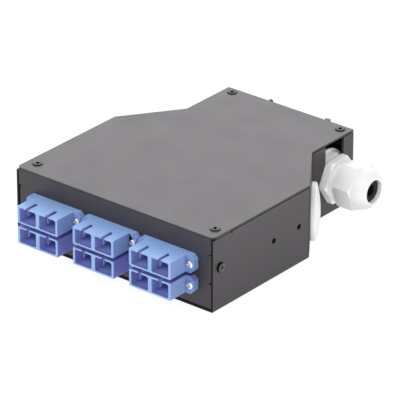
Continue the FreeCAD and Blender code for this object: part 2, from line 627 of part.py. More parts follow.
# clamping fingers: six slits through the collet end
for i in range(3):
    spin_pl = FreeCAD.Placement(V(x_end.v + 1.0, 0, 0), FreeCAD.Rotation(V(1, 0, 0), 60.0 * i).multiply(TO_PLUS_X))
    sk = new_sketch(b, "XY", None, spin_pl)
    rect(sk, -10.0, -0.45, 10.0, 0.45)
    pocket(b, sk, 5.0)
place(b, xr, D.gl_y, D.gl_z)

b = new_body("gland_dome_nut")
nl = D.gl_nut_len
sk = new_sketch(b, "XZ")
poly(sk, [(0.0, D.gl_nut_bore), (0.0, rc - 1.3), (0.9, rc), (9.8, rc), (11.0, 11.05), (14.87, 9.87), (nl, 6.86), (nl, D.gl_mouth),
          (nl - D.gl_mouth_deep - 0.4, D.gl_mouth), (nl - 7.4, D.gl_nut_bore)],
     {4: 9.0, 5: 5.75})
spin(b, sk, "H_Axis")
sk = new_sketch(b, "YZ", 0.0)
hexagon(sk, D.gl_hex_flat, -10.5)
circle(sk, 0.0, 0.0, rc + 3.0)
pocket(b, sk, nl, back=True)
nut_x = xr + hl + D.gl_gap
place(b, nut_x, D.gl_y, D.gl_z)

b = new_body("gland_seal")
sk = new_sketch(b, "XZ")
s_end = nl - D.gl_mouth_deep
poly(sk, [(1.8, D.gl_seal_hole), (1.8, 5.0), (12.5, 5.0), (12.5, D.gl_mouth - 0.35), (s_end - 0.3, D.gl_mouth - 0.35), (s_end, D.gl_mouth - 0.65),
          (s_end, D.gl_seal_hole + 0.5), (s_end - 0.5, D.gl_seal_hole)])
spin(b, sk, "H_Axis")
place(b, nut_x, D.gl_y, D.gl_z)

b = new_body("gland_locknut")
sk = new_sketch(b, "XZ")
ll = D.gl_lock_len
poly(sk, [(0.0, D.gl_thread + 0.1), (0.0, rc - 0.2), (-D.gl_lock_hex, rc - 0.2), (-D.gl_lock_hex, D.gl_collar),
          (0.3 - ll, D.gl_collar), (-ll, D.gl_collar - 0.3), (-ll, D.gl_thread + 0.1)])
spin(b, sk, "H_Axis")
sk = new_sketch(b, "YZ", 0.0)
hexagon(sk, D.gl_hex_flat, 12.0)
circle(sk, 0.0, 0.0, rc + 3.0)
pocket(b, sk, D.gl_lock_hex)
place(b, xr - t, D.gl_y, D.gl_z)

# ---------------------------------------------------------------- blanking plug on the right angled wall, local Z along the wall's outward normal
b = new_body("blanking_plug")
sk = new_sketch(b, "XZ")
r_in = D.pl_hole - 0.15
cap_a = D.pl_rad - 1.4
cap_h = D.pl_dome - D.pl_rim - 0.15
poly(sk, [(0.0, D.pl_dome), (0.0, D.pl_dome - 1.6), (r_in - 1.8, 0.6), (r_in - 1.8, -6.5), (r_in - 0.9, -6.5),
          (r_in + 0.3, -t - 1.2), (r_in - 0.5, -t - 0.3), (r_in, -t), (r_in, 0.0), (D.pl_rad - 0.5, 0.0), (D.pl_rad, 0.5),
          (D.pl_rad, D.pl_rim - 1.1), (D.pl_rad - 1.4, D.pl_rim + 0.15)],
     {11: -1.35, 12: -((cap_a * cap_a + cap_h * cap_h) / (cap_h * 2.0))})
spin(b, sk)
for i in range(4):
    spin_pl = FreeCAD.Placement(V(0, 0, -8.0), FreeCAD.Rotation(V(0, 0, 1), 45.0 * i))
    sk = new_sketch(b, "XY", None, spin_pl)
    rect(sk, -20.0, -0.6, 20.0, 0.6)
    pocket(b, sk, 6.6 - 0.9, back=True)
place(b, plug_x, plug_y, D.pl_z, turn)

# ---------------------------------------------------------------- rail clip: fixed U bracket with two hooked flanges
b = new_body("din_clip_bracket")
ys = yr + D.cl_seat
sk = new_sketch(b, "XZ", -yr)
rect(sk, -D.cl_left, D.cl_low, D.cl_right, D.cl_top)
pad(b, sk, t, back=True)
for z0 in (D.cl_low, D.cl_top - t):
    sk = new_sketch(b, "XY", z0)
    poly(sk, [(D.cl_right, yr), (D.cl_right, ys), (-D.cl_arm_in, ys), (-D.cl_arm_in, yr + D.cl_lip_low),
              (-D.cl_lip_in, yr + D.cl_lip_low), (-D.cl_lip_in, yr + D.cl_lip_low + 0.35), (0.8 - D.cl_left, yr + D.cl_lip_top),
              (-D.cl_left, yr + D.cl_lip_top), (-D.cl_left, yr)])
    pad(b, sk, t)
round_edges(b, 1.0, lambda e: along(e, X_AX) and abs(mid(e).y - yr.v) < 1e-4)
# tongue that carries the fixed end of the spring
sk = new_sketch(b, "XY", zc - 1.7)
rect(sk, D.sp_right + 0.1, yr + 0.2, D.sp_right + 0.1 + t, ys - 0.7)
pad(b, sk, 3.4)
sk = new_sketch(b, "XZ", -(yr - 0.5))
for sz in (1.0, -1.0):
    circle(sk, -D.rv_x, zc + D.rv_dz * sz, D.rv_shank)
pocket(b, sk, t + 1.0)

# sliding latch: plate in the bracket's channel, two hook arms, pull tab with a screwdriver slot
b = new_body("din_latch")
yl0 = yr + t + D.la_gap
zl, zh = D.cl_low + t + D.la_gap, D.cl_top - t - D.la_gap
ax0 = D.cl_arm_in + 0.2
ax1 = ax0 + t
wide = D.cl_right + 0.6
tz0, tz1 = zc - 5.3, zc + 5.3
sk = new_sketch(b, "XZ", -yl0)
poly(sk, [(-D.la_left, zl), (wide, zl), (wide, D.cl_low), (ax1, D.cl_low), (ax1, tz0), (D.la_tab - 1.5, tz0), (D.la_tab, tz0 + 1.5),
          (D.la_tab, tz1 - 1.5), (D.la_tab - 1.5, tz1), (ax1, tz1), (ax1, D.cl_top), (wide, D.cl_top), (wide, zh), (-D.la_left, zh)])
pad(b, sk, t, back=True)
for z0, z1 in ((D.cl_low, tz0), (tz1, D.cl_top)):
    sk = new_sketch(b, "XY", z0)
    poly(sk, [(ax0, yl0), (ax1, yl0), (ax1, yr + D.cl_lip_top), (ax1 - 0.8, yr + D.cl_lip_top),
              (D.cl_lip_in, yr + D.cl_lip_low + 0.35), (D.cl_lip_in, yr + D.cl_lip_low), (ax0, yr + D.cl_lip_low)])
    pad(b, sk, z1 - z0)
sk = new_sketch(b, "XZ", -(yl0 - 0.5))
for sz in (1.0, -1.0):
    zz = zc + D.rv_dz * sz
    gapr = D.rv_shank + 0.3
    rect(sk, -D.rv_x - D.la_travel - gapr, zz - gapr, -D.rv_x + gapr, zz + gapr)
rect(sk, -D.sp_left - 0.1, zc - 2.2, D.sp_right + 0.1 + t + 0.5, zc + 2.2)
rect(sk, D.la_tab - 5.0, zc - 3.0, D.la_tab - 2.2, zc + 3.0)
pocket(b, sk, t + 1.0)
round_edges(b, 1.0, lambda e: along(e, Z_AX) and abs(mid(e).x - ax1.v) < 1e-4 and abs(mid(e).y - yl0.v) < 1e-4)

# shoulder rivets: hold the bracket to the rear wall and guide the latch
rv = new_body("rivet_master", node=False)
sk = new_sketch(rv, "XZ")
poly(sk, [(0.0, -t - 1.1), (D.rv_head - 0.5, -t - 1.1), (D.rv_head, -t - 0.6), (D.rv_head, -t), (D.rv_shank - 0.02, -t),
          (D.rv_shank - 0.02, t + D.la_gap * 2.0 + t), (D.rv_head, t + D.la_gap * 2.0 + t),
          (D.rv_head, t + D.la_gap * 2.0 + t + 0.4), (D.rv_head - 0.4, t + D.la_gap * 2.0 + t + 0.8), (0.0, t + D.la_gap * 2.0 + t + 0.8)])
spin(rv, sk)
copies("clip_rivets", rv, [(-D.rv_x, yr, zc + D.rv_dz, TO_PLUS_Y), (-D.rv_x, yr, zc - D.rv_dz, TO_PLUS_Y)])

# compression spring between the bracket's tongue and the latch's window
pitch = (D.sp_left.v + D.sp_right.v - 2.0 * D.sp_wire.v) / D.sp_turns.v
helix = Part.makeHelix(pitch, pitch * D.sp_turns.v, D.sp_coil.v)
ring = Part.Wire([Part.makeCircle(D.sp_wire.v, V(D.sp_coil.v, 0, 0), V(0, 1, pitch / (2 * math.pi * D.sp_coil.v)))])
coil = Part.Wire(helix.Edges).makePipeShell([ring], True, True)
spring = doc.addObject("Part::Feature", "latch_spring")
spring.Shape = coil
spring.Label = "latch_spring"
place(spring, -D.sp_left + D.sp_wire, yr + t + 1.35, zc, TO_PLUS_X)
NODES.append(spring)

# ---------------------------------------------------------------- splice tray on four clinched standoffs
st_z = t + D.st_up
b = new_body("splice_tray")
sx, sy = D.st_w / 2.0, D.st_len / 2.0
sk = new_sketch(b, "XY", st_z)
rect(sk, -sx, D.st_y - sy, sx, D.st_y + sy)
pad(b, sk, D.st_high)
round_edges(b, D.st_corner, lambda e: along(e, Z_AX))
sk = new_sketch(b, "XY", st_z + D.st_high)
rrect(sk, -sx + D.st_wall, D.st_y - sy + D.st_wall, sx - D.st_wall, D.st_y + sy - D.st_wall, D.st_corner - D.st_wall)
pocket(b, sk, D.st_high - D.st_wall)
sk = new_sketch(b, "XY", st_z + D.st_wall)
for ax in (1.0, -1.0):
    for ay in (1.0, -1.0):
        circle(sk, D.st_bx * ax, D.st_y + D.st_by * ay, D.st_boss)
pad(b, sk, D.st_high - D.st_wall)
sk = new_sketch(b, "XY", st_z + D.st_high + 0.5)
for ax in (1.0, -1.0):
    for ay in (1.0, -1.0):
        circle(sk, D.st_bx * ax, D.st_y + D.st_by * ay, D.clear_hole)
pocket(b, sk, D.st_high + 1.0)
# fibre entries in the front wall and the rear wall
sk = new_sketch(b, "XY", st_z + D.st_high + 0.5)
for ax in (1.0, -1.0):
    rect(sk, 18.0 * ax - 3.0, D.st_y - sy - 1.0, 18.0 * ax + 3.0, D.st_y - sy + D.st_wall + 1.0)
    rect(sk, 18.0 * ax - 3.0, D.st_y + sy - D.st_wall - 1.0, 18.0 * ax + 3.0, D.st_y + sy + 1.0)
pocket(b, sk, D.st_high - D.st_wall + 0.5)

b = new_body("splice_tray_lid")
sk = new_sketch(b, "XY", st_z + D.st_high)
rect(sk, -sx, D.st_y - sy, sx, D.st_y + sy)
pad(b, sk, D.lid_thick)
round_edges(b, D.st_corner, lambda e: along(e, Z_AX))
sk = new_sketch(b, "XY", st_z + D.st_high + D.lid_thick + 0.5)
for ax in (1.0, -1.0):
    for ay in (1.0, -1.0):
        circle(sk, D.st_bx * ax, D.st_y + D.st_by * ay, D.clear_hole)
pocket(b, sk, D.lid_thick + 1.0)

# comb that holds the splice protectors: base strip with upright fingers
b = new_body("splice_comb")
sk = new_sketch(b, "XY", st_z + D.st_wall)
rect(sk, -14.0, D.st_y - 12.0, 14.0, D.st_y + 12.0)
pad(b, sk, 0.9)
sk = new_sketch(b, "XY", st_z + D.st_wall + 0.7)
for i in range(7):
    x0 = -13.6 + 4.4 * i
    for y0 in (-11.5, -1.5, 8.5):
        rect(sk, x0, D.st_y + y0, x0 + 0.8, D.st_y + y0 + 3.0)
pad(b, sk, 4.2)

so = new_body("standoff_master", node=False)
sk = new_sketch(so, "XZ")
poly(sk, [(1.5, -t + 0.1), (D.clinch_hole - 0.02, -t + 0.1), (D.clinch_hole - 0.02, 0.0), (3.0, 0.0), (3.0, D.st_up), (1.5, D.st_up)])
spin(so, sk)
ts = pan_screw("screw_tray_master", 2.9, 1.4, 1.42, 11.4, 1.7, 0.9)
spots, tops = [], []
for ax in (1.0, -1.0):
    for ay in (1.0, -1.0):
        spots.append((D.st_bx * ax, D.st_y + D.st_by * ay, t, UP))
        tops.append((D.st_bx * ax, D.st_y + D.st_by * ay, st_z + D.st_high + D.lid_thick, UP))
copies("tray_standoffs", so, spots)
copies("tray_screws", ts, tops)

# ---------------------------------------------------------------- checks, then one file for each node
doc.recompute()
bad = [o.Label for o in doc.Objects if "Invalid" in o.State or "Error" in o.State]
if bad:
    raise RuntimeError("failed objects: %s" % bad)
for o in doc.Objects:
    if o.TypeId in ("PartDesign::Pocket", "PartDesign::Groove") and o.BaseFeature is not None:
        if o.Shape.Volume > o.BaseFeature.Shape.Volume - 1e-4:
            raise RuntimeError("cut removes nothing: " + o.Label)
    if o.TypeId == "PartDesign::Pad" and o.BaseFeature is not None:
        if o.Shape.Volume < o.BaseFeature.Shape.Volume + 1e-4:
            raise RuntimeError("pad adds nothing: " + o.Label)
for n in NODES:
    shp = n.Shape
    if shp.isNull() or not shp.isValid() or not shp.Solids:
        raise RuntimeError("bad shape: " + n.Label)
for old in os.listdir("parts"):
    if old.endswith(".step"):
        os.remove(os.path.join("parts", old))
for n in NODES:
    n.Shape.exportStep(os.path.join("parts", n.Label + ".step"))
    bb = n.Shape.BoundBox
    print("%-24s solids %2d  vol %9.1f  x %7.2f %7.2f  y %7.2f %7.2f  z %7.2f %7.2f" % (
        n.Label, len(n.Shape.Solids), n.Shape.Volume, bb.XMin, bb.XMax, bb.YMin, bb.YMax, bb.ZMin, bb.ZMax))
print(len(NODES), "nodes")
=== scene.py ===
import math

import bmesh
import bpy
from mathutils import Matrix, Vector


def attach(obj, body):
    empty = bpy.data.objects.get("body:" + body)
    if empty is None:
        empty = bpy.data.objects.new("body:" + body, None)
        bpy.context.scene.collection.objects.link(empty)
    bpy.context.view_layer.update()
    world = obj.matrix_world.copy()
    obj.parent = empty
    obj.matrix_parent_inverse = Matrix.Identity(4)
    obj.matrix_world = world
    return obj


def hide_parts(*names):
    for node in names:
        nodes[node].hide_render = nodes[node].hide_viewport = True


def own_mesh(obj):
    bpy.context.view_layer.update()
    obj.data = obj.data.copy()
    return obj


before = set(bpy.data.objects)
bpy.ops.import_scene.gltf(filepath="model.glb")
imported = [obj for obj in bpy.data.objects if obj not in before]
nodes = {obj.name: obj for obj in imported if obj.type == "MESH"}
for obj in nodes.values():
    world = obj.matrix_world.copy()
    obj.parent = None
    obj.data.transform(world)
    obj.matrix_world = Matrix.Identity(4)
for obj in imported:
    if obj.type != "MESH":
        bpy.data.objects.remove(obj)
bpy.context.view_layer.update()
scene = bpy.context.scene
scene.view_settings.view_transform = "Standard"
MM = 0.001
PITCH, PORT_X, ROW, ROW_STEP, FACE = 0.0357, 0.00635, 0.01295, 0.0112, -0.08485
EDGE_Y, FLANGE_Y = -0.0695, -0.0730

# ---------------------------------------------------------------- camera
AZ, EL = math.radians(39.2265), math.radians(26.23288)
back = Vector((math.sin(AZ) * math.cos(EL), -math.cos(AZ) * math.cos(EL), math.sin(EL)))
right = Vector((math.cos(AZ), math.sin(AZ), 0.0))
up = right.cross(-back)
middle = Vector((0.0, 0.0005, 0.020))
cam_data = bpy.data.cameras.new("camera")
cam_data.sensor_width = 36.0
cam_data.lens = 358.68
cam_data.clip_start, cam_data.clip_end = 0.05, 50.0
cam = bpy.data.objects.new("camera", cam_data)
scene.collection.objects.link(cam)
cam.location = middle + back * 1.98347
aim = middle - right * 0.002359 - up * 0.005188
cam.rotation_mode = "QUATERNION"
cam.rotation_quaternion = (aim - cam.location).to_track_quat("-Z", "Y")
scene.camera = cam

# ---------------------------------------------------------------- stage and light
world = bpy.data.worlds.new("studio")
scene.world = world
world.use_nodes = True
bg = world.node_tree.nodes["Background"]
bg.inputs["Color"].default_value = (1.0, 1.0, 1.0, 1.0)
bg.inputs["Strength"].default_value = 0.74


def softbox(name, at, look, wide, tall, radiance, tint=(1.0, 1.0, 1.0)):
    lamp = bpy.data.lights.new(name, "AREA")
    lamp.shape = "RECTANGLE"
    lamp.size, lamp.size_y = wide, tall
    lamp.energy = radiance * math.pi * wide * tall
    lamp.color = tint
    o = bpy.data.objects.new(name, lamp)
    scene.collection.objects.link(o)
    o.location = at
    o.rotation_mode = "QUATERNION"
    o.rotation_quaternion = (Vector(look) - Vector(at)).to_track_quat("-Z", "Y")
    o.visible_camera = False
    return o


softbox("box_rear", Vector((-0.569, 0.692, 0.47)) * 2.4, (0, 0, 0.03), 2.4, 1.7, 2.5)
softbox("box_top", (0.1, 0.2, 2.3), (0, 0, 0), 2.0, 2.0, 0.4)
softbox("box_front", Vector((-0.45, -0.70, 0.55)) * 2.4, (0.0, 0, 0.02), 1.5, 1.5, 2.1)
softbox("box_right", Vector((0.52, -0.72, 0.40)) * 2.6, (0.03, 0.03, 0.02), 1.4, 1.1, 1.5)

# narrow fill on the gland, from above and in front
snoot = bpy.data.lights.new("snoot", "SPOT")
snoot.energy, snoot.spot_size, snoot.spot_blend, snoot.shadow_soft_size = 15.0, math.radians(2.6), 0.7, 0.012
fill = bpy.data.objects.new("snoot", snoot)
scene.collection.objects.link(fill)
fill.location = Vector((0.050, 0.0535, 0.020)) + Vector((0.35, -0.45, 0.82)) * 1.6
fill.rotation_mode = "QUATERNION"
fill.rotation_quaternion = Vector((-0.35, 0.45, -0.82)).to_track_quat("-Z", "Y")

fm = bpy.data.meshes.new("floor")
fm.from_pydata([(-6, -6, -0.0004), (6, -6, -0.0004), (6, 6, -0.0004), (-6, 6, -0.0004)], [], [(0, 1, 2, 3)])
floor = bpy.data.objects.new("floor", fm)
scene.collection.objects.link(floor)


# ---------------------------------------------------------------- node helpers
def shader(name):
    m = bpy.data.materials.new(name)
    m.use_nodes = True
    nt = m.node_tree
    nt.nodes.clear()
    out = nt.nodes.new("ShaderNodeOutputMaterial")
    b = nt.nodes.new("ShaderNodeBsdfPrincipled")
    nt.links.new(b.outputs["BSDF"], out.inputs["Surface"])
    tc = nt.nodes.new("ShaderNodeTexCoord")
    return m, nt, b, tc.outputs["Object"]


def noise(nt, co, scale, detail=2.0, rough=0.5, stretch=None):
    if stretch is not None:
        mp = nt.nodes.new("ShaderNodeMapping")
        mp.inputs["Scale"].default_value = stretch
        nt.links.new(co, mp.inputs["Vector"])
        co = mp.outputs["Vector"]
    n = nt.nodes.new("ShaderNodeTexNoise")
    n.inputs["Scale"].default_value = scale
    n.inputs["Detail"].default_value = detail
    n.inputs["Roughness"].default_value = rough
    nt.links.new(co, n.inputs["Vector"])
    return n.outputs["Fac"]


def ramp(nt, fac, stops):
    r = nt.nodes.new("ShaderNodeValToRGB")
    el = r.color_ramp.elements
    while len(el) < len(stops):
        el.new(0.5)
    for e, (p, c) in zip(el, stops):
        e.position = p
        e.color = (c[0], c[1], c[2], 1.0)
    nt.links.new(fac, r.inputs["Fac"])
    return r.outputs["Color"]


def span(nt, value, a, b, c, d):
    r = nt.nodes.new("ShaderNodeMapRange")
    r.inputs["From Min"].default_value = a
    r.inputs["From Max"].default_value = b
    r.inputs["To Min"].default_value = c
    r.inputs["To Max"].default_value = d
    nt.links.new(value, r.inputs["Value"])
    return r.outputs["Result"]


def bump(nt, height, strength, distance, under=None):
    n = nt.nodes.new("ShaderNodeBump")
    n.inputs["Strength"].default_value = strength
    n.inputs["Distance"].default_value = distance
    nt.links.new(height, n.inputs["Height"])
    if under is not None:
        nt.links.new(under, n.inputs["Normal"])
    return n.outputs["Normal"]


def mixed(nt, fac, a, b, kind="MIX"):
    n = nt.nodes.new("ShaderNodeMix")
    n.data_type = "RGBA"
    n.blend_type = kind
    if isinstance(fac, float):
        n.inputs[0].default_value = fac
    else:
        nt.links.new(fac, n.inputs[0])
    for v, s in ((a, n.inputs[6]), (b, n.inputs[7])):
        if isinstance(v, tuple):
            s.default_value = (v[0], v[1], v[2], 1.0)
        else:
            nt.links.new(v, s)
    return n.outputs[2]


def sums(nt, kind, a, b=None, c=None):
    n = nt.nodes.new("ShaderNodeMath")
    n.operation = kind
    for v, k in ((a, 0), (b, 1), (c, 2)):
        if v is None:
            continue
        if isinstance(v, float):
            n.inputs[k].default_value = v
        else:
            nt.links.new(v, n.inputs[k])
    return n.outputs[0]


# ---------------------------------------------------------------- materials
def paint(name, lo, hi, edge=False):
    """Satin black powder coat on steel: fine orange peel, faint cloudiness; with edge set, the tray walls' front cut
    edges are painted near-black with little specular, a painted shade of the seam beside the front panel.
    """
    m, nt, b, co = shader(name)
    cloud = noise(nt, co, 26.0, 3.0)
    fleck = noise(nt, co, 5200.0, 1.0)
    base = ramp(nt, cloud, [(0.30, (lo, 0.885 * lo, lo)), (0.70, (hi, 0.895 * hi, hi))])
    grain = ramp(nt, fleck, [(0.35, (0.90, 0.90, 0.90)), (0.75, (1.12, 1.12, 1.12))])
    xyz = nt.nodes.new("ShaderNodeSeparateXYZ")
    nt.links.new(co, xyz.inputs[0])
    coat = mixed(nt, 1.0, base, grain, "MULTIPLY")
    if edge:
        # painted shade: a near-black, low-specular band on the front cut edges of the tray walls
        cut = sums(nt, "MULTIPLY", span(nt, xyz.outputs[1], EDGE_Y + 0.00002, EDGE_Y + 0.00012, 1.0, 0.0),
                   span(nt, sums(nt, "ABSOLUTE", xyz.outputs[0]), 0.0620, 0.0622, 1.0, 0.0))
        coat = mixed(nt, cut, coat, (0.010, 0.009, 0.009))
        nt.links.new(span(nt, cut, 0.0, 1.0, 0.5, 0.10), b.inputs["Specular IOR Level"])
    nt.links.new(coat, b.inputs["Base Color"])
    nt.links.new(span(nt, noise(nt, co, 70.0, 4.0), 0.3, 0.7, 0.415, 0.455), b.inputs["Roughness"])
    n1 = bump(nt, noise(nt, co, 650.0, 3.0), 0.10, 0.00006)
    n2 = bump(nt, noise(nt, co, 3200.0, 2.0), 0.10, 0.00002, n1)
    nt.links.new(n2, b.inputs["Normal"])
    b.inputs["IOR"].default_value = 1.48
    b.inputs["Specular Tint"].default_value = (1.0, 0.93, 1.0, 1.0)
    return m


def port_depth(nt, co):
    """0 on the outside of an adapter, rising to 1 inside its ports."""
    xyz = nt.nodes.new("ShaderNodeSeparateXYZ")
    nt.links.new(co, xyz.inputs[0])
    x, y, z = xyz.outputs
    half = PITCH / 2.0
    off = sums(nt, "SUBTRACT", sums(nt, "ABSOLUTE", sums(nt, "WRAP", x, half, -half)), PORT_X)
    in_x = span(nt, sums(nt, "ABSOLUTE", off), 5.22 * MM, 5.30 * MM, 1.0, 0.0)
    row = sums(nt, "WRAP", sums(nt, "SUBTRACT", z, ROW), ROW_STEP / 2.0, -ROW_STEP / 2.0)
    in_z = span(nt, sums(nt, "ABSOLUTE", row), 3.68 * MM, 3.76 * MM, 1.0, 0.0)
    in_y = span(nt, y, FACE + 0.0002, FACE + 0.0030, 0.0, 1.0)
    return sums(nt, "MULTIPLY", sums(nt, "MULTIPLY", in_x, in_z), in_y)


def blue(name, side, front, top, ear, under, deep, sole, rough):
    """Moulded blue plastic: flow variation and fine tool texture. Colour is set by face direction and place as painted
    light and shade: lighter tops and fronts, darker undersides, and painted shade on the ears, inside the ports and in
    the gaps between adapters.
    """
    m, nt, b, co = shader(name)
    flow = noise(nt, co, 60.0, 3.0, 0.55, (1.0, 0.45, 1.4))
    geo = nt.nodes.new("ShaderNodeNewGeometry")
    nrm = nt.nodes.new("ShaderNodeSeparateXYZ")
    nt.links.new(geo.outputs["Normal"], nrm.inputs[0])
    pos = nt.nodes.new("ShaderNodeSeparateXYZ")
    nt.links.new(co, pos.inputs[0])

    def shade(c):
        return ramp(nt, flow, [(0.32, tuple(0.96 * v for v in c)), (0.70, tuple(1.05 * v for v in c))])

    # painted light and shade: flange faces take the darker ear colour, the lower row's tops and its inner sides take
    # the under colour as painted shade in the gaps, and port insides take the deep colour with a lighter sole on upward
    # faces
    plate = span(nt, pos.outputs[1], FLANGE_Y - 0.0006, FLANGE_Y - 0.0002, 0.0, 1.0)
    upper = span(nt, pos.outputs[2], 0.0240, 0.0262, 0.0, 1.0)
    ahead = span(nt, nrm.outputs[1], -0.25, -0.85, 0.0, 1.0)
    above = span(nt, nrm.outputs[2], 0.25, 0.85, 0.0, 1.0)
    below = span(nt, nrm.outputs[2], -0.25, -0.85, 0.0, 1.0)
    gap_painted_shade = sums(nt, "MULTIPLY", span(nt, pos.outputs[2], 0.0178, 0.0192, 1.0, 0.0), span(nt, sums(nt, "ABSOLUTE", pos.outputs[0]), 0.030, 0.036, 1.0, 0.0))
    lit_and_shaded_colour = mixed(nt, ahead, mixed(nt, gap_painted_shade, shade(side), shade(under)), mixed(nt, plate, shade(front), shade(ear)))
    lit_and_shaded_colour = mixed(nt, above, lit_and_shaded_colour, mixed(nt, upper, shade(under), shade(top)))
    lit_and_shaded_colour = mixed(nt, below, lit_and_shaded_colour, shade(under))
    nt.links.new(mixed(nt, port_depth(nt, co), lit_and_shaded_colour, mixed(nt, above, shade(deep), shade(sole))), b.inputs["Base Color"])
    nt.links.new(span(nt, noise(nt, co, 240.0, 3.0), 0.3, 0.7, rough - 0.04, rough + 0.05), b.inputs["Roughness"])
    n1 = bump(nt, noise(nt, co, 2600.0, 2.0), 0.08, 0.00003)
    nt.links.new(n1, b.inputs["Normal"])
    b.inputs["IOR"].default_value = 1.5
    b.inputs["Subsurface Weight"].default_value = 0.35
    b.inputs["Subsurface Radius"].default_value = (0.9, 0.7, 1.4)
    b.inputs["Subsurface Scale"].default_value = 0.0012
    return m


def nylon(name, lo, hi, painted_under_shade=0.0):
    """White moulded nylon, slightly translucent, with soft sheen; the optional last argument greys downward faces as
    painted shade, most strongly near the case.
    """
    m, nt, b, co = shader(name)
    flow = noise(nt, co, 80.0, 3.0)
    base = ramp(nt, flow, [(0.30, (lo, lo, lo + 0.005)), (0.70, (hi, hi, hi))])
    if painted_under_shade:
        geo = nt.nodes.new("ShaderNodeNewGeometry")
        nrm = nt.nodes.new("ShaderNodeSeparateXYZ")
        nt.links.new(geo.outputs["Normal"], nrm.inputs[0])
        pos = nt.nodes.new("ShaderNodeSeparateXYZ")
        nt.links.new(co, pos.inputs[0])
        # painted shade: downward faces greyed, strongest close to the case
        painted_shade_mask = sums(nt, "MULTIPLY", span(nt, nrm.outputs[2], -0.05, -0.45, 0.0, 1.0), span(nt, pos.outputs[0], 0.0485, 0.0600, painted_under_shade, 0.35 * painted_under_shade))
        base = mixed(nt, painted_shade_mask, base, (0.20, 0.19, 0.19))
    nt.links.new(base, b.inputs["Base Color"])
    nt.links.new(span(nt, noise(nt, co, 300.0, 3.0), 0.3, 0.7, 0.34, 0.44), b.inputs["Roughness"])
    n1 = bump(nt, noise(nt, co, 1900.0, 2.0), 0.07, 0.00003)
    nt.links.new(n1, b.inputs["Normal"])
    b.inputs["Subsurface Weight"].default_value = 0.4
    b.inputs["Subsurface Radius"].default_value = (1.0, 0.95, 0.9)
    b.inputs["Subsurface Scale"].default_value = 0.0025
    return m


def rubber():
    m, nt, b, co = shader("black_rubber")
    nt.links.new(ramp(nt, noise(nt, co, 400.0, 4.0), [(0.3, (0.008, 0.0075, 0.0075)), (0.75, (0.014, 0.013, 0.013))]), b.inputs["Base Color"])
    nt.links.new(span(nt, noise(nt, co, 900.0, 3.0), 0.3, 0.7, 0.55, 0.72), b.inputs["Roughness"])
    nt.links.new(bump(nt, noise(nt, co, 2400.0, 3.0), 0.25, 0.00004), b.inputs["Normal"])
    b.inputs["Specular IOR Level"].default_value = 0.25
    return m


def metal(name, lo, hi, r0, r1, stretch):
    """Plated steel with fine turning marks and patches of duller plating."""
    m, nt, b, co = shader(name)
    nt.links.new(ramp(nt, noise(nt, co, 350.0, 4.0), [(0.3, lo), (0.7, hi)]), b.inputs["Base Color"])
    b.inputs["Metallic"].default_value = 1.0
    nt.links.new(span(nt, noise(nt, co, 900.0, 4.0), 0.3, 0.7, r0, r1), b.inputs["Roughness"])
    nt.links.new(bump(nt, noise(nt, co, 2500.0, 2.0, 0.5, stretch), 0.12, 0.00003), b.inputs["Normal"])
    return m


def black_screw(name, axis, face, lo, hi, shine, painted_shade_tone):
    """Black-passivated screw: dark conversion coat with a satin shine and paler rubbed patches; the recess and the head
    below its face are painted near-black with less specular, a painted shade.
    """
    m, nt, b, co = shader(name)
    pos = nt.nodes.new("ShaderNodeSeparateXYZ")
    nt.links.new(co, pos.inputs[0])
    # painted shade mask: everything below the head's face, that is the recess and the head's side
    painted_shade_mask = span(nt, sums(nt, "ABSOLUTE", pos.outputs[axis]), face - 0.00016, face - 0.00008, 1.0, 0.0)
    coat = ramp(nt, noise(nt, co, 900.0, 4.0), [(0.3, (lo, 0.95 * lo, lo)), (0.75, (hi, 0.97 * hi, hi))])
    nt.links.new(mixed(nt, painted_shade_mask, coat, (painted_shade_tone, painted_shade_tone, painted_shade_tone)), b.inputs["Base Color"])
    nt.links.new(span(nt, painted_shade_mask, 0.0, 1.0, 0.5, 0.15), b.inputs["Specular IOR Level"])
    b.inputs["Metallic"].default_value = shine
    nt.links.new(span(nt, noise(nt, co, 1500.0, 3.0), 0.3, 0.7, 0.42 - 0.16 * shine, 0.52 - 0.16 * shine), b.inputs["Roughness"])
    nt.links.new(bump(nt, noise(nt, co, 3000.0, 2.0, 0.5, (6.0, 1.0, 1.0)), 0.10, 0.00003), b.inputs["Normal"])
    b.inputs["IOR"].default_value = 1.5
    return m


def recess_painted_shade():
    """Near-black painted shade at the bottom of a screw's recess, with traces of coat."""
    m, nt, b, co = shader("recess_painted_shade")
    nt.links.new(ramp(nt, noise(nt, co, 1200.0, 3.0), [(0.3, (0.003, 0.003, 0.003)), (0.8, (0.008, 0.0075, 0.008))]), b.inputs["Base Color"])
    nt.links.new(span(nt, noise(nt, co, 1500.0, 2.0), 0.3, 0.7, 0.55, 0.70), b.inputs["Roughness"])
    nt.links.new(bump(nt, noise(nt, co, 3000.0, 2.0), 0.15, 0.00003), b.inputs["Normal"])
    b.inputs["Specular IOR Level"].default_value = 0.1
    return m


def ceramic():
    m, nt, b, co = shader("white_ceramic")
    nt.links.new(ramp(nt, noise(nt, co, 500.0, 3.0), [(0.3, (0.70, 0.69, 0.66)), (0.7, (0.80, 0.79, 0.77))]), b.inputs["Base Color"])
    nt.links.new(span(nt, noise(nt, co, 700.0, 2.0), 0.3, 0.7, 0.12, 0.20), b.inputs["Roughness"])
    nt.links.new(bump(nt, noise(nt, co, 3000.0, 2.0), 0.04, 0.00002), b.inputs["Normal"])
    return m


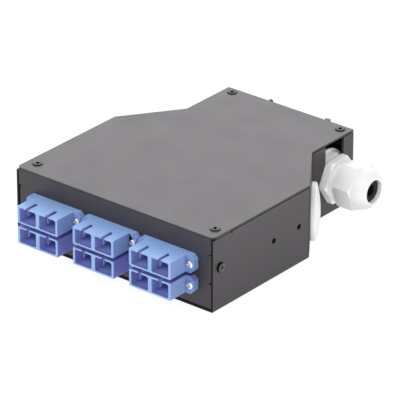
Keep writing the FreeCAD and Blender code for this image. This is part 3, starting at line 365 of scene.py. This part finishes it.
def tray_plastic():
    m, nt, b, co = shader("tray_plastic")
    nt.links.new(ramp(nt, noise(nt, co, 50.0, 3.0), [(0.3, (0.56, 0.57, 0.58)), (0.7, (0.63, 0.635, 0.64))]), b.inputs["Base Color"])
    nt.links.new(span(nt, noise(nt, co, 200.0, 3.0), 0.3, 0.7, 0.42, 0.52), b.inputs["Roughness"])
    nt.links.new(bump(nt, noise(nt, co, 2200.0, 2.0), 0.10, 0.00003), b.inputs["Normal"])
    return m


def floor_white():
    """Pale sweep that glows as painted light: its glow is even except to the right of the box, where it rises from dim
    beside the right wall, a painted shade, to brighter further out.
    """
    m, nt, b, co = shader("floor_white")
    nt.links.new(ramp(nt, noise(nt, co, 3.0, 2.0), [(0.3, (0.145, 0.145, 0.145)), (0.7, (0.155, 0.155, 0.155))]), b.inputs["Base Color"])
    b.inputs["Roughness"].default_value = 0.9
    b.inputs["Specular IOR Level"].default_value = 0.0
    b.inputs["Emission Color"].default_value = (1.0, 1.0, 1.0, 1.0)
    xyz = nt.nodes.new("ShaderNodeSeparateXYZ")
    nt.links.new(co, xyz.inputs[0])
    # painted light: glow strength ramps from dim beside the box's right wall to bright further right
    nt.links.new(span(nt, xyz.outputs[0], 0.070, 0.130, 0.93, 1.52), b.inputs["Emission Strength"])
    return m


PAINT = paint("satin_black_coat", 0.034, 0.038)
PAINT_EDGE = paint("satin_black_coat_cut_edge", 0.034, 0.038, True)
# The DIN clip pieces take a lighter copy of the satin black coat.
PAINT_CLIP = paint("lighter_black_coat", 0.095, 0.125)
BLUE = blue("blue_moulding", (0.22, 0.315, 0.60), (0.255, 0.42, 0.72), (0.295, 0.475, 0.88), (0.205, 0.305, 0.585), (0.16, 0.17, 0.48), (0.30, 0.29, 0.70), (0.30, 0.38, 0.76), 0.40)
# The inner holders take a darker, purple copy of the blue, painted shade inside the ports.
INNER = blue("blue_inner_moulding", (0.255, 0.245, 0.64), (0.255, 0.25, 0.64), (0.255, 0.25, 0.64), (0.25, 0.24, 0.62), (0.24, 0.23, 0.60), (0.27, 0.25, 0.66), (0.27, 0.27, 0.66), 0.42)
# The hook noses take a lighter copy of the blue, a painted highlight in the ports.
LIP = blue("blue_hook_moulding", (0.40, 0.43, 0.82), (0.44, 0.48, 0.86), (0.40, 0.43, 0.82), (0.40, 0.43, 0.82), (0.36, 0.39, 0.78), (0.42, 0.46, 0.84), (0.42, 0.46, 0.84), 0.40)
# Lighter and darker copies of one white nylon as painted light and shade: the gland body and locknut painted brighter
# against the shade around them, the nut darker with painted shade under it near the case.
NYLON = nylon("white_nylon", 0.795, 0.825)
NYLON_NUT = nylon("white_nylon_nut", 0.765, 0.795, 0.60)
NYLON_BODY = nylon("white_nylon_body", 0.92, 0.94)
RUBBER = rubber()
BRIGHT = metal("bright_zinc", (0.82, 0.83, 0.85), (0.93, 0.93, 0.94), 0.18, 0.32, (1.0, 1.0, 6.0))
ZINC = metal("plain_zinc", (0.50, 0.50, 0.49), (0.62, 0.62, 0.61), 0.34, 0.50, (1.0, 1.0, 6.0))
DARK = black_screw("black_passivate_cover", 2, 0.04055, 0.024, 0.038, 0.0, 0.010)
DARK_SIDE = black_screw("black_passivate_side", 0, 0.0636, 0.080, 0.125, 1.0, 0.006)
RUBBED = metal("rubbed_recess_rim", (0.40, 0.40, 0.41), (0.62, 0.62, 0.63), 0.16, 0.28, (1.0, 1.0, 4.0))
DEEP = recess_painted_shade()
CERAMIC = ceramic()
TRAY = tray_plastic()
floor.data.materials.append(floor_white())

BY_SLOT = {
    "case_paint": PAINT, "dark_zinc": DARK, "bright_zinc": BRIGHT, "blue_plastic": BLUE, "inner_plastic": INNER,
    "sleeve_ceramic": CERAMIC, "white_nylon": NYLON, "seal_rubber": RUBBER, "tray_plastic": TRAY,
}


def slot_of(name):
    if name.startswith("adapter_") and name not in ("adapter_screws", "adapter_nuts"):
        return {"shell": "blue_plastic", "lders": "inner_plastic", "eeves": "sleeve_ceramic"}[name[-5:]]
    if name in ("base_tray", "top_cover", "front_panel", "din_clip_bracket", "din_latch"):
        return "case_paint"
    if name in ("cover_screws", "panel_side_screws"):
        return "dark_zinc"
    if name in ("gland_body", "gland_dome_nut", "gland_locknut", "blanking_plug"):
        return "white_nylon"
    if name == "gland_seal":
        return "seal_rubber"
    if name in ("splice_tray", "splice_tray_lid", "splice_comb"):
        return "tray_plastic"
    return "bright_zinc"


def dress(o, m):
    if len(o.material_slots) == 0:
        o.data.materials.append(m)
    for s in o.material_slots:
        s.material = m


for name, o in nodes.items():
    slot = slot_of(name)
    own = {"base_tray": PAINT_EDGE, "din_clip_bracket": PAINT_CLIP, "din_latch": PAINT_CLIP, "panel_side_screws": DARK_SIDE, "gland_dome_nut": NYLON_NUT, "gland_body": NYLON_BODY, "gland_locknut": NYLON_BODY,
           "adapter_screws": BRIGHT}.get(name)
    dress(o, own or (ZINC if slot == "bright_zinc" else BY_SLOT[slot]))


# ---------------------------------------------------------------- softened edges on the carried-over nodes
def soften(name, width, angle=32.0, segments=2):
    o = nodes[name]
    w = o.modifiers.new("weld", "WELD")
    w.merge_threshold = 0.000002
    d = o.modifiers.new("flat", "DECIMATE")
    d.decimate_type = "DISSOLVE"
    d.angle_limit = math.radians(0.4)
    b = o.modifiers.new("edge", "BEVEL")
    b.width = width
    b.segments = segments
    b.limit_method = "ANGLE"
    b.angle_limit = math.radians(angle)
    b.use_clamp_overlap = True
    b.harden_normals = False
    n = o.modifiers.new("normals", "WEIGHTED_NORMAL")
    n.keep_sharp = True
    n.weight = 50


for name in ("base_tray", "front_panel", "din_clip_bracket", "din_latch"):
    soften(name, 0.12 * MM)
soften("top_cover", 0.08 * MM)
for name in ("gland_body", "gland_dome_nut", "gland_locknut"):
    soften(name, 0.28 * MM, 22.0, 3)
soften("blanking_plug", 0.2 * MM, 30.0, 3)
for name in ("splice_tray", "splice_tray_lid", "splice_comb"):
    soften(name, 0.15 * MM)
for i in range(1, 7):
    soften("adapter_%d_front_shell" % i, 0.16 * MM)
    soften("adapter_%d_rear_shell" % i, 0.16 * MM)

# ---------------------------------------------------------------- new pieces
def new_piece(name, bm, material, body="case"):
    me = bpy.data.meshes.new(name)
    bmesh.ops.recalc_face_normals(bm, faces=bm.faces)
    bm.to_mesh(me)
    bm.free()
    o = bpy.data.objects.new(name, me)
    scene.collection.objects.link(o)
    me.materials.append(material)
    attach(o, body)
    return o


def coil_spring(name, x0, x1, cy, cz, coil, wire, turns, dead):
    """Compression spring along X with closed end turns, drawn as one tube."""
    bm = bmesh.new()
    steps, sides = 40, 12
    total = turns + 2.0 * dead
    count = int(total * steps)
    lead = (x1 - x0 - 2.0 * wire - 2.0 * dead * 2.0 * wire) / turns
    rings = []
    for i in range(count + 1):
        turn = total * i / count
        if turn < dead:
            x = turn * 2.0 * wire
        elif turn < dead + turns:
            x = dead * 2.0 * wire + (turn - dead) * lead
        else:
            x = dead * 2.0 * wire + turns * lead + (turn - dead - turns) * 2.0 * wire
        a = 2.0 * math.pi * turn
        centre = Vector((x0 + wire + x, cy + coil * math.cos(a), cz + coil * math.sin(a)))
        out = Vector((0.0, math.cos(a), math.sin(a)))
        side = Vector((1.0, 0.0, 0.0))
        rings.append([bm.verts.new(centre + wire * (out * math.cos(b) + side * math.sin(b)))
                      for b in (2.0 * math.pi * k / sides for k in range(sides))])
    for r0, r1 in zip(rings, rings[1:]):
        for k in range(sides):
            bm.faces.new((r0[k], r0[(k + 1) % sides], r1[(k + 1) % sides], r1[k])).smooth = True
    bm.faces.new(list(reversed(rings[0])))
    bm.faces.new(rings[-1])
    return new_piece(name, bm, ZINC)


SPRING = (-0.0039, 0.0089, 0.07205, 0.0193)
spring = coil_spring("latch_spring_coil", SPRING[0], SPRING[1], SPRING[2], SPRING[3], 0.95 * MM, 0.2 * MM, 8.0, 1.0)
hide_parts("latch_spring")
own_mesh(spring)


def driven_screws(name, stands_for, spots, face_material, head, high, shank, length, arm, deep, slim):
    """Pan-head screws with a tapered cross recess. A spot is a place and the three directions of the screw's own axes."""
    bm = bmesh.new()
    count, edge, wide, blur = 112, 0.72 * high, slim * arm, 0.04 * MM

    def dip(x, y):
        def band(v, limit):
            return min(1.0, max(0.0, (limit + blur - abs(v)) / (2.0 * blur)))
        lobe = max(band(y, wide) * band(x, arm), band(x, wide) * band(y, arm))
        return lobe * deep * (1.0 - 0.5 * min(1.0, math.hypot(x, y) / arm))

    rings = []
    for i in range(1, int((arm + 0.15 * MM) / (0.05 * MM)) + 1):
        rings.append((0.05 * MM * i, high, True))
    for i in range(6):
        a = math.radians(18.0 * i)
        rings.append((head - edge + edge * math.sin(a), high - edge + edge * math.cos(a), False))
    rings += [(head, 0.0, False), (shank, 0.0, False), (shank, 0.4 * MM - length, False), (shank - 0.4 * MM, -length, False)]
    for at, ax, ay, az in spots:
        at, ax, ay, az = Vector(at), Vector(ax), Vector(ay), Vector(az)

        def put(x, y, z):
            return bm.verts.new(at + ax * x + ay * y + az * z)

        loops, depths = [], []
        for r, z, cut in rings:
            loop, depth = [], []
            for k in range(count):
                t = 2.0 * math.pi * k / count
                x, y = r * math.cos(t), r * math.sin(t)
                d = dip(x, y) if cut else 0.0
                loop.append(put(x, y, z - d))
                depth.append(d)
            loops.append(loop)
            depths.append(depth)
        mid, tail = put(0.0, 0.0, high - deep), put(0.0, 0.0, -length)

        # faces sunk deeper than 0.30 mm take the third material, a near-black painted shade; the shallow rim takes the
        # rubbed metal
        def kind(*ds):
            d = sum(ds) / len(ds)
            return 0 if d < 0.02 * MM else 1 if d < 0.30 * MM else 2

        for k in range(count):
            j = (k + 1) % count
            bm.faces.new((mid, loops[0][k], loops[0][j])).material_index = 2
            bm.faces.new((tail, loops[-1][j], loops[-1][k]))
            for n in range(len(loops) - 1):
                f = bm.faces.new((loops[n][k], loops[n + 1][k], loops[n + 1][j], loops[n][j]))
                f.material_index = kind(depths[n][k], depths[n + 1][k], depths[n + 1][j], depths[n][j])
                f.smooth = not rings[n][2] and n < len(rings) - 5
    o = new_piece(name, bm, face_material)
    o.data.materials.append(RUBBED)
    o.data.materials.append(DEEP)
    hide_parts(stands_for)
    return o


X, Y, Z = (1.0, 0.0, 0.0), (0.0, 1.0, 0.0), (0.0, 0.0, 1.0)
driven_screws("cover_screws_driven", "cover_screws",
              [((sx * x, y, 0.0400), (0.766, 0.643, 0.0), (-0.643, 0.766, 0.0), Z) for sx in (1.0, -1.0) for x, y in ((0.0564, -0.0607), (0.0348, 0.0653))],
              DARK, 2.65 * MM, 0.55 * MM, 1.42 * MM, 6.0 * MM, 1.6 * MM, 0.95 * MM, 0.36)
driven_screws("panel_side_screws_driven", "panel_side_screws",
              [((0.0625, -0.0642, 0.02285), Y, Z, X), ((-0.0625, -0.0642, 0.02285), (0.0, -1.0, 0.0), Z, (-1.0, 0.0, 0.0))],
              DARK_SIDE, 2.65 * MM, 1.1 * MM, 1.42 * MM, 6.4 * MM, 1.5 * MM, 1.0 * MM, 0.23)


def prism(bm, outline, axis, a, b):
    """Straight prism: outline in the two other axes, from a to b along the given axis."""
    def at(p, q):
        v = [p[0], p[1]]
        v.insert(axis, q)
        return bm.verts.new(v)
    lo, hi = [at(p, a) for p in outline], [at(p, b) for p in outline]
    n = len(outline)
    bm.faces.new(lo)
    bm.faces.new(list(reversed(hi)))
    for i in range(n):
        bm.faces.new((lo[i], hi[i], hi[(i + 1) % n], lo[(i + 1) % n]))


HALF_W, HALF_H, WEB, TIP = 5.25 * MM, 3.70 * MM, 0.60 * MM, FACE + 5.3 * MM
for k in range(6):
    cx, cz = PITCH * (k % 3 - 1), ROW + (ROW_STEP if k < 3 else 0.0)
    lips, webs = bmesh.new(), bmesh.new()
    for px in (cx - PORT_X, cx + PORT_X):
        for sx in (-1.0, 1.0):
            # noses of the latch hooks, in front of the hooks' arms
            prism(lips, [(px + sx * x * MM, y) for x, y in ((4.97, TIP + 0.35 * MM), (4.75, TIP + 0.06 * MM), (4.45, TIP), (4.22, TIP + 0.4 * MM),
                                                            (4.22, TIP + 1.0 * MM), (4.45, TIP + 1.5 * MM), (4.45, -0.0772), (4.97, -0.0772))],
                  2, cz - 2.9 * MM, cz + 1.47 * MM)
            # small webs in the corners of the port's mouth
            for sz in (-1.0, 1.0):
                prism(webs, [(px + sx * (HALF_W + 0.1 * MM), cz + sz * (HALF_H + 0.1 * MM)), (px + sx * (HALF_W - WEB), cz + sz * (HALF_H + 0.1 * MM)),
                             (px + sx * (HALF_W - WEB), cz + sz * HALF_H), (px + sx * HALF_W, cz + sz * (HALF_H - WEB)),
                             (px + sx * (HALF_W + 0.1 * MM), cz + sz * (HALF_H - WEB))],
                      1, FACE + 0.03 * MM, FACE + (1.2 if sz > 0.0 else 3.2) * MM)
    new_piece("adapter_%d_hook_noses" % (k + 1), lips, LIP)
    new_piece("adapter_%d_mouth_webs" % (k + 1), webs, BLUE)
